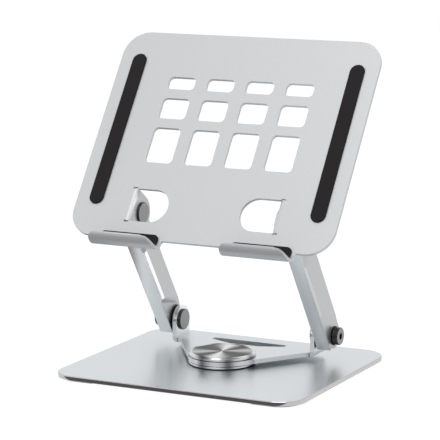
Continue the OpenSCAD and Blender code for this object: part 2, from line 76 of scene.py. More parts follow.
# Painted reflection: soft wedges of the cap's spun face, standing in for the sheen of its spun grain: how
# many go round, the direction of the first in degrees, and their strength as a share of the face's mean
# tone
PAINTED_REFLECTION_WEDGES = ((2, 87.0, 0.23), (4, 19.0, 0.38), (6, -24.0, 0.20))
# Thickness of a washer between an arm and a bolt's head, in metres
HEAD_WASHER_THICKNESS = 0.0005


class FinishSettings(bpy.types.PropertyGroup):
    """Colours and grain of the stand's finishes."""

    sheet_colour: bpy.props.FloatVectorProperty(
        name="Sheet metal",
        description="Colour of the sandblasted tray and bracket",
        subtype="COLOR", size=3, min=0.0, max=1.0, default=(0.625, 0.64, 0.65),
    )
    arm_colour: bpy.props.FloatVectorProperty(
        name="Arms",
        description="Colour of the channel arms",
        subtype="COLOR", size=3, min=0.0, max=1.0, default=(0.50, 0.515, 0.52),
    )
    base_colour: bpy.props.FloatVectorProperty(
        name="Base plate",
        description="Colour of the base plate",
        subtype="COLOR", size=3, min=0.0, max=1.0, default=(0.66, 0.69, 0.71),
    )
    polished_colour: bpy.props.FloatVectorProperty(
        name="Polished rings",
        description="Colour of the swivel's polished rims",
        subtype="COLOR", size=3, min=0.0, max=1.0, default=(0.80, 0.80, 0.81),
    )
    spun_tone: bpy.props.FloatProperty(
        name="Spun face",
        description="Mean tone of the cap's spun face",
        subtype="FACTOR", min=0.0, max=1.0, default=0.49,
    )
    fastener_colour: bpy.props.FloatVectorProperty(
        name="Fasteners",
        description="Colour of the nuts and bolts",
        subtype="COLOR", size=3, min=0.0, max=1.0, default=(0.26, 0.26, 0.26),
    )
    # Painted light: the arms' front walls are lighter than their sides, though both are one sheet
    front_light_colour: bpy.props.FloatVectorProperty(
        name="Arm fronts",
        description="Colour of the arms' front walls",
        subtype="COLOR", size=3, min=0.0, max=1.0, default=(0.86, 0.885, 0.90),
    )
    # Painted highlight on the left arm's long bend
    bend_highlight_colour: bpy.props.FloatVectorProperty(
        name="Left arm bend",
        description="Colour of the burnished facet beside the left arm's long bend",
        subtype="COLOR", size=3, min=0.0, max=1.0, default=(0.97, 0.97, 0.97),
    )
    # Fainter painted highlight on the right arm's long bend
    soft_bend_highlight_colour: bpy.props.FloatVectorProperty(
        name="Right arm bend",
        description="Colour of the right arm's long bend",
        subtype="COLOR", size=3, min=0.0, max=1.0, default=(0.64, 0.655, 0.66),
    )
    # Painted highlight: the bracket's ears are lighter than its plate, though bent from one sheet
    ear_highlight_colour: bpy.props.FloatVectorProperty(
        name="Bracket ears",
        description="Colour of the bracket's burnished ears",
        subtype="COLOR", size=3, min=0.0, max=1.0, default=(0.78, 0.79, 0.80),
    )
    ear_height: bpy.props.FloatProperty(
        name="Ear height",
        description="Height above the floor from which the bracket is burnished",
        unit="LENGTH", min=0.0, max=0.1, default=0.0138, precision=4,
    )
    # Painted dark reflection: the base plate's cut edge is darker than its top
    edge_dark_reflection_colour: bpy.props.FloatVectorProperty(
        name="Base edge",
        description="Colour of the base plate's cut edge",
        subtype="COLOR", size=3, min=0.0, max=1.0, default=(0.50, 0.50, 0.50),
    )
    # Painted shade: the turned sides of the nuts and bolts are darker than their faces
    side_shade_colour: bpy.props.FloatVectorProperty(
        name="Fastener sides",
        description="Colour of the turned sides of the nuts and bolts",
        subtype="COLOR", size=3, min=0.0, max=1.0, default=(0.06, 0.06, 0.06),
    )
    rubber_colour: bpy.props.FloatVectorProperty(
        name="Rubber",
        description="Colour of the feet, grip strips and liners",
        subtype="COLOR", size=3, min=0.0, max=1.0, default=(0.014, 0.0115, 0.012),
    )
    washer_colour: bpy.props.FloatVectorProperty(
        name="Washers",
        description="Colour of the black washers",
        subtype="COLOR", size=3, min=0.0, max=1.0, default=(0.006, 0.006, 0.006),
    )
    grain_size: bpy.props.FloatProperty(
        name="Blasting grain",
        description="Distance between the specks of the sandblasted surface",
        unit="LENGTH", min=0.0001, max=0.01, default=0.0009, precision=4,
    )
    edge_round: bpy.props.FloatProperty(
        name="Edge rounding",
        description="Radius of the softly broken sheet edges",
        unit="LENGTH", min=0.0, max=0.001, default=0.0004, precision=4,
    )
    rim_radius: bpy.props.FloatProperty(
        name="Turned rim radius",
        description="Distance from the swivel's axis within which the bracket's walls are turned bright",
        unit="LENGTH", min=0.001, max=0.1, default=0.0345, precision=4,
    )
    spun_radius: bpy.props.FloatProperty(
        name="Spun face radius",
        description="Radius of the spun face inside the cap's polished rim",
        unit="LENGTH", min=0.001, max=0.1, default=0.0276, precision=4,
    )


class ArmSettings(bpy.types.PropertyGroup):
    """Sizes of the channel arms. Their hinges and side faces are taken from the washers beside them."""

    front: bpy.props.FloatProperty(
        name="Front",
        description="Distance from the hinge line to the face of the front wall",
        unit="LENGTH", min=0.0118, max=0.0142, default=0.014, precision=4,
    )
    end_radius: bpy.props.FloatProperty(
        name="End radius",
        description="Radius of the side walls' round ends",
        unit="LENGTH", min=0.01, max=0.0125, default=0.0117, precision=4,
    )
    over_low: bpy.props.FloatProperty(
        name="Lower overhang",
        description="Length of the front wall past the lower hinge",
        unit="LENGTH", min=0.0, max=0.006, default=0.005, precision=4,
    )
    over_high: bpy.props.FloatProperty(
        name="Upper overhang",
        description="Length of the front wall past the upper hinge",
        unit="LENGTH", min=0.0, max=0.0035, default=0.003, precision=4,
    )
    thickness: bpy.props.FloatProperty(
        name="Sheet",
        description="Thickness of the arms' sheet",
        unit="LENGTH", min=0.001, max=0.003, default=0.0022, precision=4,
    )
    left_bend: bpy.props.FloatProperty(
        name="Left bend",
        description="Outer radius of the long bend on the left",
        unit="LENGTH", min=0.0005, max=0.004, default=0.0012, precision=4,
    )
    right_bend: bpy.props.FloatProperty(
        name="Right bend",
        description="Outer radius of the long bend on the right",
        unit="LENGTH", min=0.0022, max=0.004, default=0.0025, precision=4,
    )
    left_rise: bpy.props.FloatVectorProperty(
        name="Left rise",
        description="How far the left arm's raised panel stands out, at its front and at its rear edge",
        unit="LENGTH", size=2, min=0.0, max=0.003, default=(0.0028, 0.0010), precision=4,
    )
    right_rise: bpy.props.FloatVectorProperty(
        name="Right rise",
        description="How far the right arm's raised panel stands out, at its front and at its rear edge",
        unit="LENGTH", size=2, min=0.0, max=0.003, default=(0.0013, 0.0005), precision=4,
    )
    panel_start: bpy.props.FloatProperty(
        name="Panel start",
        description="Distance from a hinge to the foot of the raised panel",
        unit="LENGTH", min=0.0185, max=0.03, default=0.0195, precision=4,
    )
    panel_end: bpy.props.FloatProperty(
        name="Panel slope",
        description="Length of the slope at the ends of the raised panel",
        unit="LENGTH", min=0.002, max=0.02, default=0.008, precision=4,
    )
    # The facet carries the left arm's painted highlight
    facet: bpy.props.FloatProperty(
        name="Facet",
        description="Width of the burnished facet beside the left arm's long bend",
        unit="LENGTH", min=0.0, max=0.006, default=0.0036, precision=4,
    )
    facet_bend: bpy.props.FloatProperty(
        name="Facet bend",
        description="Radius of the bend between the front wall and the burnished facet",
        unit="LENGTH", min=0.0005, max=0.002, default=0.0008, precision=4,
    )
    facet_turn: bpy.props.FloatProperty(
        name="Facet turn",
        description="Turn of the burnished facet from the arm's front wall",
        subtype="ANGLE", min=math.radians(60), max=math.radians(88), default=math.radians(77),
    )
    bore_radius: bpy.props.FloatProperty(
        name="Bore",
        description="Radius of the bores at the hinges",
        unit="LENGTH", min=0.004, max=0.008, default=0.00605, precision=5,
    )
    play: bpy.props.FloatProperty(
        name="Play",
        description="Gap between an arm and the washers beside it",
        unit="LENGTH", min=0.0, max=0.0005, default=0.00005, precision=5,
    )


class SlotSettings(bpy.types.PropertyGroup):
    """Sizes of the slot in the swivel bracket's plate. It widens the slot of the plain solid."""

    corner_radius: bpy.props.FloatProperty(
        name="Corner",
        description="Radius of the slot's corners",
        unit="LENGTH", min=0.003, max=0.005, default=0.0036, precision=4,
    )
    rear: bpy.props.FloatProperty(
        name="Rear",
        description="Distance from the swivel's axis to the slot's rear edge",
        unit="LENGTH", min=0.0592, max=0.061, default=0.0592, precision=4,
    )
    rear_corner: bpy.props.FloatProperty(
        name="Rear corner",
        description="Distance from the middle to the centre of a rear corner",
        unit="LENGTH", min=0.033, max=0.037, default=0.03366, precision=5,
    )
    front: bpy.props.FloatProperty(
        name="Front",
        description="Distance from the swivel's axis to the slot's front edge",
        unit="LENGTH", min=0.037, max=0.045, default=0.03984, precision=5,
    )
    front_corner: bpy.props.FloatProperty(
        name="Front corner",
        description="Distance from the middle to the centre of a front corner",
        unit="LENGTH", min=0.001, max=0.02, default=0.004, precision=4,
    )
    cut_heights: bpy.props.FloatVectorProperty(
        name="Cut heights",
        description="Heights below and above the bracket's plate between which the slot is cut",
        unit="LENGTH", size=2, min=0.0, max=0.02, default=(0.006, 0.015), precision=4,
    )


class HookSettings(bpy.types.PropertyGroup):
    """Place of the tray's hooks and the cut at their right ends. The washers give the upper hinge."""

    tilt: bpy.props.FloatProperty(
        name="Tilt",
        description="Slope of the tray at rest",
        subtype="ANGLE", default=math.radians(54.7),
    )
    below_hinge: bpy.props.FloatProperty(
        name="Below hinge",
        description="Distance down the tray's slope from the hinge to the hooks' axis",
        unit="LENGTH", default=0.033, precision=4,
    )
    before_hinge: bpy.props.FloatProperty(
        name="Before hinge",
        description="Distance from the hinge to the hooks' axis, square to the tray",
        unit="LENGTH", default=0.0242, precision=4,
    )
    radius: bpy.props.FloatProperty(
        name="Radius",
        description="Radius of the middle of the hooks' sheet",
        unit="LENGTH", default=0.009, precision=4,
    )
    sweep: bpy.props.FloatProperty(
        name="Sweep",
        description="Angle from the tray's face round to the hooks' free edge",
        subtype="ANGLE", default=math.radians(163),
    )
    middle: bpy.props.FloatProperty(
        name="Middle",
        description="Distance from the centre plane to the middle of a hook",
        unit="LENGTH", default=0.06475, precision=5,
    )
    width: bpy.props.FloatProperty(
        name="Width",
        description="Width of a hook",
        unit="LENGTH", default=0.0645, precision=4,
    )
    cut_width: bpy.props.FloatProperty(
        name="Cut width",
        description="Width of the rounded cut at the right end of a hook's free edge",
        unit="LENGTH", min=0.007, max=0.02, default=0.0130, precision=4,
    )
    cut_reach: bpy.props.FloatProperty(
        name="Cut reach",
        description="Length of the rounded cut, measured round the hook from its free edge",
        unit="LENGTH", min=0.007, max=0.02, default=0.0145, precision=4,
    )
    liner_inset: bpy.props.FloatProperty(
        name="Liner inset",
        description="Distance from the rounded cut of a hook to that of its liner",
        unit="LENGTH", min=0.0, max=0.005, default=0.0012, precision=4,
    )
    cut_radii: bpy.props.FloatVectorProperty(
        name="Cut radii",
        description="Radii inside the liner and outside the hook between which the end is cut",
        unit="LENGTH", size=2, min=0.0, max=0.02, default=(0.0055, 0.0115), precision=4,
    )


class StageSettings(bpy.types.PropertyGroup):
    """Camera, lights, floor and dark flag round the stand."""

    azimuth: bpy.props.FloatProperty(
        name="Azimuth",
        description="Direction of the camera round the stand, from the front towards the right",
        subtype="ANGLE", default=math.radians(26.8514),
    )
    elevation: bpy.props.FloatProperty(
        name="Elevation",
        description="Height of the camera above the horizon, as an angle",
        subtype="ANGLE", default=math.radians(10.0924),
    )
    roll: bpy.props.FloatProperty(
        name="Roll",
        description="Turn of the camera about its line of sight",
        subtype="ANGLE", default=math.radians(-0.0744),
    )
    distance: bpy.props.FloatProperty(
        name="Distance",
        description="Distance from the camera to the point it looks at",
        unit="LENGTH", min=0.1, default=1.98671,
    )
    target: bpy.props.FloatVectorProperty(
        name="Target",
        description="Point that the camera looks at",
        unit="LENGTH", size=3, default=(-0.0019876, -0.0000638, 0.1361212),
    )
    focal_length: bpy.props.FloatProperty(
        name="Focal length",
        description="Focal length of the camera in millimetres",
        min=1.0, default=182.044,
    )
    floor_size: bpy.props.FloatProperty(
        name="Floor size",
        description="Width of the floor",
        unit="LENGTH", min=1.0, default=12.0,
    )
    key_power: bpy.props.FloatProperty(
        name="Key light",
        description="Power of the large lamp overhead",
        unit="POWER", min=0.0, default=14.0,
    )
    key_size: bpy.props.FloatProperty(
        name="Key size",
        description="Width of the large lamp overhead",
        unit="LENGTH", min=0.1, default=1.6,
    )
    key_place: bpy.props.FloatVectorProperty(
        name="Key place",
        description="Place of the large lamp overhead",
        unit="LENGTH", size=3, default=(0.3, -0.9, 2.2),
    )
    fill_power: bpy.props.FloatProperty(
        name="Fill light",
        description="Power of the lamp on the left",
        unit="POWER", min=0.0, default=4.0,
    )
    fill_size: bpy.props.FloatProperty(
        name="Fill size",
        description="Width of the lamp on the left",
        unit="LENGTH", min=0.1, default=1.0,
    )
    fill_place: bpy.props.FloatVectorProperty(
        name="Fill place",
        description="Place of the lamp on the left",
        unit="LENGTH", size=3, default=(-1.8, -0.8, 0.9),
    )
    light_aim: bpy.props.FloatVectorProperty(
        name="Light aim",
        description="Point that both lamps face",
        unit="LENGTH", size=3, default=(0.0, 0.0, 0.12),
    )
    world_strength: bpy.props.FloatProperty(
        name="World",
        description="Strength of the light from all round",
        min=0.0, default=0.5,
    )
    floor_white: bpy.props.FloatProperty(
        name="Floor white",
        description="White that the floor shows to the camera",
        min=0.0, default=1.25,
    )
    shadow_share: bpy.props.FloatProperty(
        name="Shadow",
        description="Share of the floor's look that shadows darken",
        subtype="FACTOR", min=0.0, max=1.0, default=0.3,
    )
    flag_near: bpy.props.FloatProperty(
        name="Flag near edge",
        description="Distance from the middle to the near edge of the dark flag in front",
        unit="LENGTH", min=0.0, default=0.11,
    )
    flag_reach: bpy.props.FloatProperty(
        name="Flag reach",
        description="How far the dark flag goes in front and to each side",
        unit="LENGTH", min=0.2, default=2.0,
    )
    flag_beside: bpy.props.FloatProperty(
        name="Flag beside",
        description="Distance from the middle to the dark flag's strip on the left",
        unit="LENGTH", min=0.0, default=0.136,
    )
    flag_strip: bpy.props.FloatProperty(
        name="Flag strip",
        description="Length of the dark flag's strip on the left, from the near edge to the rear",
        unit="LENGTH", min=0.0, default=0.4,
    )
    flag_height: bpy.props.FloatProperty(
        name="Flag height",
        description="Height of the dark flag's upright part",
        unit="LENGTH", min=0.0, default=0.25,
    )


def feed(tree, node, inputs):
    """Links or sets a node's inputs: sockets are linked, and plain values are set."""
    for key, value in inputs.items():
        if isinstance(value, bpy.types.NodeSocket):
            tree.links.new(value, node.inputs[key])
        else:
            node.inputs[key].default_value = value


def add_node(tree, kind, inputs=None, **settings):
    """New shader node with its settings and its inputs."""
    node = tree.nodes.new(kind)
    for key, value in settings.items():
        setattr(node, key, value)
    feed(tree, node, inputs or {})
    return node


def math_node(tree, operation, *values):
    """Result of a math node fed by sockets or plain values."""
    return add_node(tree, "ShaderNodeMath", dict(enumerate(values)), operation=operation).outputs["Value"]


def new_material(name, inputs):
    """Material with one Principled shader, and the tree and the shader to work on."""
    material = bpy.data.materials.new(name)
    material.use_nodes = True
    tree = material.node_tree
    tree.nodes.clear()
    output = tree.nodes.new("ShaderNodeOutputMaterial")
    shader = add_node(tree, "ShaderNodeBsdfPrincipled", inputs)
    tree.links.new(shader.outputs["BSDF"], output.inputs["Surface"])
    return material, tree, shader


def opaque(colour):
    """Colour as the shaders take it, with full alpha."""
    return (*colour, 1.0)


def rounded_normal(tree, radius):
    """Normal that breaks sharp edges with a small radius."""
    return add_node(tree, "ShaderNodeBevel", {"Radius": radius}, samples=6).outputs["Normal"]


def relief(tree, settings, height, strength, distance):
    """Normal that breaks sharp edges and adds a fine relief."""
    return add_node(tree, "ShaderNodeBump", {
        "Strength": strength, "Distance": distance, "Height": height,
        "Normal": rounded_normal(tree, settings.edge_round),
    }).outputs["Normal"]


def object_position(tree):
    """Place of a point on the part."""
    return tree.nodes.new("ShaderNodeTexCoord").outputs["Object"]


def split(tree, vector):
    """X, Y and Z of a vector, by their names."""
    return add_node(tree, "ShaderNodeSeparateXYZ", {"Vector": vector}).outputs


def face_normal(tree):
    """X, Y and Z of the way a face looks."""
    return split(tree, tree.nodes.new("ShaderNodeTexCoord").outputs["Normal"])


def scaled(tree, colour, share):
    """Colour made darker or lighter by a share."""
    tint = add_node(tree, "ShaderNodeVectorMath", {0: colour, "Scale": share}, operation="SCALE")
    return tint.outputs["Vector"]


def mix_shaders(tree, share, first, second):
    """First shader where the share is 0, and second one where it is 1."""
    return add_node(tree, "ShaderNodeMixShader", {"Fac": share, 1: first, 2: second}).outputs["Shader"]


def lay_over(tree, share, shader):
    """Shows another shader in place of what the material has so far, where the share is 1."""
    surface = tree.nodes["Material Output"].inputs["Surface"]
    tree.links.new(mix_shaders(tree, share, surface.links[0].from_socket, shader), surface)


def wall_share(tree, axis):
    """1 on the walls that stand along an axis, and 0 on the faces square to it."""
    return math_node(tree, "LESS_THAN", math_node(tree, "ABSOLUTE", face_normal(tree)[axis]), SQUARE)


def seen_as_background(tree):
    """1 for rays from the camera and for those that metal and glass send on, 0 for all others."""
    path = tree.nodes.new("ShaderNodeLightPath")
    seen = math_node(tree, "MAXIMUM", path.outputs["Is Camera Ray"], path.outputs["Is Glossy Ray"])
    return math_node(tree, "MAXIMUM", seen, path.outputs["Is Transmission Ray"])


def bare_metal(tree, settings, colour, roughness):
    """Shader of smooth metal with softly broken edges."""
    return add_node(tree, "ShaderNodeBsdfPrincipled", {
        "Base Color": opaque(colour), "Metallic": 1.0, "Roughness": roughness,
        "Normal": rounded_normal(tree, settings.edge_round),
    }).outputs["BSDF"]


def blasted_metal(name, colour, settings, roughness=0.42, metallic=0.5, speckle=0.05):
    """Sandblasted, anodised aluminium: a fine even grain in tone and relief."""
    material, tree, shader = new_material(name, {"Metallic": metallic, "Roughness": roughness})
    grain = add_node(tree, "ShaderNodeTexNoise", {
        "Vector": object_position(tree), "Scale": 1.0 / settings.grain_size,
        "Detail": 2.0, "Roughness": 0.6,
    }).outputs["Fac"]
    tone = add_node(tree, "ShaderNodeMapRange", {
        "Value": grain, "From Min": 0.25, "From Max": 0.75,
        "To Min": 1.0 - speckle, "To Max": 1.0 + speckle,
    }).outputs["Result"]
    normal = relief(tree, settings, grain, strength=0.07, distance=0.00008)
    feed(tree, shader, {"Base Color": scaled(tree, colour, tone), "Normal": normal})
    return material


def plain_material(name, colour, settings, roughness, metallic=0.0, grain=0.0, specular=0.5):
    """Plain finish, with a faint relief if it has a grain."""
    material, tree, shader = new_material(name, {
        "Base Color": opaque(colour), "Metallic": metallic, "Roughness": roughness,
        "Specular IOR Level": specular,
    })
    if grain:
        noise = add_node(tree, "ShaderNodeTexNoise", {
            "Vector": object_position(tree), "Scale": 1.0 / settings.grain_size, "Detail": 3.0,
        }).outputs["Fac"]
        normal = relief(tree, settings, noise, strength=grain, distance=0.0001)
    else:
        normal = rounded_normal(tree, settings.edge_round)
    feed(tree, shader, {"Normal": normal})
    return material


def add_darkened_cut_edge(material, settings, axis, colour, roughness):
    """Gives the walls beside a part's flat faces a smoother cut finish in a darker colour, which is painted
    shade: a dark reflection on the base plate's edge, shade on the fasteners' turned sides.
    """
    tree = material.node_tree
    lay_over(tree, wall_share(tree, axis), bare_metal(tree, settings, colour, roughness))


def round_axis(tree):
    """Angle and distance of a point round the swivel's upright axis."""
    place = split(tree, object_position(tree))
    x, y = place["X"], place["Y"]
    squares = math_node(tree, "ADD", math_node(tree, "POWER", x, 2), math_node(tree, "POWER", y, 2))
    return math_node(tree, "ARCTAN2", y, x), math_node(tree, "SQRT", squares)


def reflection_banded(tree, colour, angle):
    """Colour of a turned side wall, with soft dark bands round the axis painted in as reflections."""
    share = 1.0
    for direction, sharpness, depth in PAINTED_REFLECTION_BANDS:
        facing = math_node(tree, "COSINE", math_node(tree, "SUBTRACT", angle, math.radians(direction)))
        band = math_node(tree, "POWER", math_node(tree, "ABSOLUTE", facing), sharpness)
        share = math_node(tree, "SUBTRACT", share, math_node(tree, "MULTIPLY", band, depth))
    return scaled(tree, colour, share)


def add_turned_rim(material, settings):
    """Gives the walls near the swivel's axis the turned finish of the rings above and below, with its
    painted reflection bands.
    """
    tree = material.node_tree
    angle, radius = round_axis(tree)
    rim = add_node(tree, "ShaderNodeBsdfPrincipled", {
        "Base Color": reflection_banded(tree, settings.polished_colour, angle), "Metallic": 1.0, "Roughness": 0.16,
    })
    near = math_node(tree, "LESS_THAN", radius, settings.rim_radius)
    share = math_node(tree, "MULTIPLY", wall_share(tree, "Z"), near)
    lay_over(tree, share, rim.outputs["BSDF"])


def add_painted_highlight_ears(material, settings):
    """Paints what stands above the bracket's plate lighter and smoother: a painted highlight on the ears.
    """
    tree = material.node_tree
    height = split(tree, object_position(tree))["Z"]
    above = math_node(tree, "GREATER_THAN", height, settings.ear_height)
    lay_over(tree, above, bare_metal(tree, settings, settings.ear_highlight_colour, roughness=0.22))


def spun_metal(name, settings):
    """Turned steel whose top face is spun: its tone fans round the upright axis in soft wedges of painted
    reflection, and its side walls carry painted reflection bands.
    """
    material, tree, shader = new_material(name, {"Metallic": 1.0, "Roughness": 0.2, "Anisotropic": 0.7})
    tangent = add_node(tree, "ShaderNodeTangent", direction_type="RADIAL", axis="Z")

    angle, radius = round_axis(tree)
    tone = settings.spun_tone
    # Painted reflection: fixed lighter and darker wedges stand in for the spun face's sheen
    for lobes, direction, share in PAINTED_REFLECTION_WEDGES:
        turned = math_node(tree, "SUBTRACT", angle, math.radians(direction))
        wave = math_node(tree, "COSINE", math_node(tree, "MULTIPLY", turned, lobes))
        swing = math_node(tree, "MULTIPLY", wave, share * settings.spun_tone)
        tone = math_node(tree, "ADD", swing, tone)

    rings_per_grain, ring_contrast = 2.0, 0.3
    rings = add_node(tree, "ShaderNodeTexNoise", {
        "W": math_node(tree, "MULTIPLY", radius, rings_per_grain / settings.grain_size),
        "Scale": 1.0, "Detail": 1.0,
    }, noise_dimensions="1D")
    streak = math_node(tree, "MULTIPLY", rings.outputs["Fac"], ring_contrast)
    streak = math_node(tree, "ADD", streak, 1.0 - ring_contrast / 2)

    least_level = 0.9
    level = math_node(tree, "GREATER_THAN", face_normal(tree)["Z"], least_level)
    inside = math_node(tree, "LESS_THAN", radius, settings.spun_radius)
    colour = add_node(tree, "ShaderNodeMix", {
        "Factor": math_node(tree, "MULTIPLY", level, inside),
        "A": reflection_banded(tree, settings.polished_colour, angle),
        "B": math_node(tree, "MULTIPLY", tone, streak),
    }, data_type="RGBA").outputs["Result"]
    feed(tree, shader, {
        "Base Color": colour, "Specular Tint": colour, "Tangent": tangent.outputs["Tangent"],
        "Normal": rounded_normal(tree, settings.edge_round),
    })
    return material


def dress(names, material):
    """Gives one material to each of the named parts."""
    for name in names:
        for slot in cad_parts[name].material_slots:
            slot.link = "OBJECT"
            slot.material = material


def add_object(name, data):
    """New object in the scene."""
    added = bpy.data.objects.new(name, data)
    bpy.context.scene.collection.objects.link(added)
    return added


def solid(name, vertices, faces):
    """Closed mesh object with its faces turned outwards."""
    mesh = bpy.data.meshes.new(name)
    mesh.from_pydata(vertices, [], faces)
    shape = bmesh.new()
    shape.from_mesh(mesh)
    bmesh.ops.recalc_face_normals(shape, faces=shape.faces)
    shape.to_mesh(mesh)
    shape.free()
    return add_object(name, mesh)


def upright(x, y, height):
    """Point of an outline seen from above, at a height."""
    return (x, y, height)


def sideways(y, height, x):
    """Point of an outline seen from the side, at a distance across."""
    return (x, y, height)


def prism(name, outline, low, high, place):
    """Solid between two copies of an outline, placed by a function at a low and a high end."""
    count = len(outline)
    vertices = [place(a, b, end) for end in (low, high) for a, b in outline]
    faces = [tuple(range(count)), tuple(range(count, 2 * count))]
    faces += [(i, (i + 1) % count, (i + 1) % count + count, i + count) for i in range(count)]
    return solid(name, vertices, faces)


def combine(piece, operation, *others):
    """Adds, cuts or intersects a solid with others, which are used up."""
    for other in others:
        step = piece.modifiers.new("Combine", "BOOLEAN")
        step.operation = operation
        step.solver = "EXACT"
        step.object = other
    seen = piece.evaluated_get(bpy.context.evaluated_depsgraph_get())
    mesh = bpy.data.meshes.new_from_object(seen)
    piece.modifiers.clear()
    piece.data = mesh
    for other in others:
        bpy.data.objects.remove(other)
    return piece


def arc(centre, radius, start, end, steps=8):
    """Points along an arc, its angles in degrees."""
    turns = [math.radians(start + (end - start) * i / steps) for i in range(steps + 1)]
    return [(centre[0] + radius * math.cos(a), centre[1] + radius * math.sin(a)) for a in turns]


def shade(piece, sharp_from):
    """Smooth shading that leaves the edges above an angle in degrees sharp."""
    piece.data.shade_smooth()
    piece.data.set_sharp_from_angle(angle=math.radians(sharp_from))


def recut(node, name, body, slot, material, *cutters):
    """Copy of a part, cut further, that takes the part's place."""
    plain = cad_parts[node]
    piece = add_object(name, plain.data.copy())
    piece.matrix_world = plain.matrix_world.copy()
    combine(piece, "DIFFERENCE", *cutters)
    piece.data.materials.clear()
    piece.data.materials.append(material)
    shade(piece, sharp_from=25)
    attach(piece, body)
    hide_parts(node)


def hinge_centre(node):
    """Centre of a pair of washers, on the middle plane."""
    low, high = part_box(node)
    return Vector((0.0, (low[1] + high[1]) / 2, (low[2] + high[2]) / 2))


def hook_cutter(sizes, side, inset):
    """Solid that rounds off the right end of a hook's free edge, bent round with the hook."""
    steps, past_edge, past_end = 16, 0.001, 0.002
    inner, outer = sizes.cut_radii
    origin, turn = hinge_centre("upper_head_washers"), Matrix.Rotation(sizes.tilt, 4, "X")
    end = side * sizes.middle + sizes.width / 2
    far = end + past_end
    vertices = []
    for i in range(steps + 1):
        down = -past_edge + (sizes.cut_reach + past_edge) * i / steps
        share = min(max(1.0 - down / sizes.cut_reach, 0.0), 1.0)
        near = end - (sizes.cut_width * (1.0 - math.sqrt(1.0 - share ** 2)) + inset)
        angle = sizes.sweep - down / sizes.radius
        for x, radius in ((near, inner), (near, outer), (far, outer), (far, inner)):
            y, z = -radius * math.sin(angle), -radius * math.cos(angle)
            vertices.append(origin + turn @ Vector((x, y - sizes.below_hinge, z + sizes.before_hinge)))
    faces = [(0, 1, 2, 3), tuple(4 * steps + j for j in range(4))]
    for i in range(0, 4 * steps, 4):
        faces += [(i + j, i + (j + 1) % 4, i + 4 + (j + 1) % 4, i + 4 + j) for j in range(4)]
    return solid("Hook end", vertices, faces)


class LAPTOPSTAND_OT_tray(bpy.types.Operator):
    """Finish the tray in sandblasted aluminium, with the right end of each hook cut back."""

    bl_idname = "laptopstand.tray"
    bl_label = "Finish tray"

    def execute(self, context):
        settings, hooks = context.scene.stand_finish, context.scene.stand_hooks
        sheet = blasted_metal("Sandblasted sheet", settings.sheet_colour, settings)
        cutters = [hook_cutter(hooks, side, 0.0) for side in (-1, 1)]
        recut("tray", "tray_rounded", "tray", "sheet", sheet, *cutters)
        return {"FINISHED"}


class LAPTOPSTAND_OT_bracket(bpy.types.Operator):
    """Finish the swivel bracket in satin aluminium, with its slot widened to a flat triangle."""

    bl_idname = "laptopstand.bracket"
    bl_label = "Finish bracket"

    def execute(self, context):
        settings = context.scene.stand_finish
        satin = blasted_metal("Satin bracket", settings.base_colour, settings, **SATIN_PLATE)
        # Painted reflection bands on the turned rim walls
        add_turned_rim(satin, settings)
        # Painted highlight on the ears above the plate
        add_painted_highlight_ears(satin, settings)
        cutter = self.slot_cutter(context.scene.stand_slot)
        recut("swivel_bracket", "swivel_bracket_slotted", "swivel", "sheet", satin, cutter)
        return {"FINISHED"}

    def slot_cutter(self, sizes):
        """Flat triangle with round corners, its point cut off at the front."""
        radius = sizes.corner_radius
        rear = (sizes.rear_corner, sizes.rear - radius)
        front = (sizes.front_corner, sizes.front + radius)
        turn = math.degrees(math.atan2(rear[1] - front[1], rear[0] - front[0]))
        half = arc(front, radius, -90, turn - 90, steps=3) + arc(rear, radius, turn - 90, 90, steps=12)
        outline = half + [(-x, y) for x, y in reversed(half)]
        return prism("Slot", outline, *sizes.cut_heights, upright)


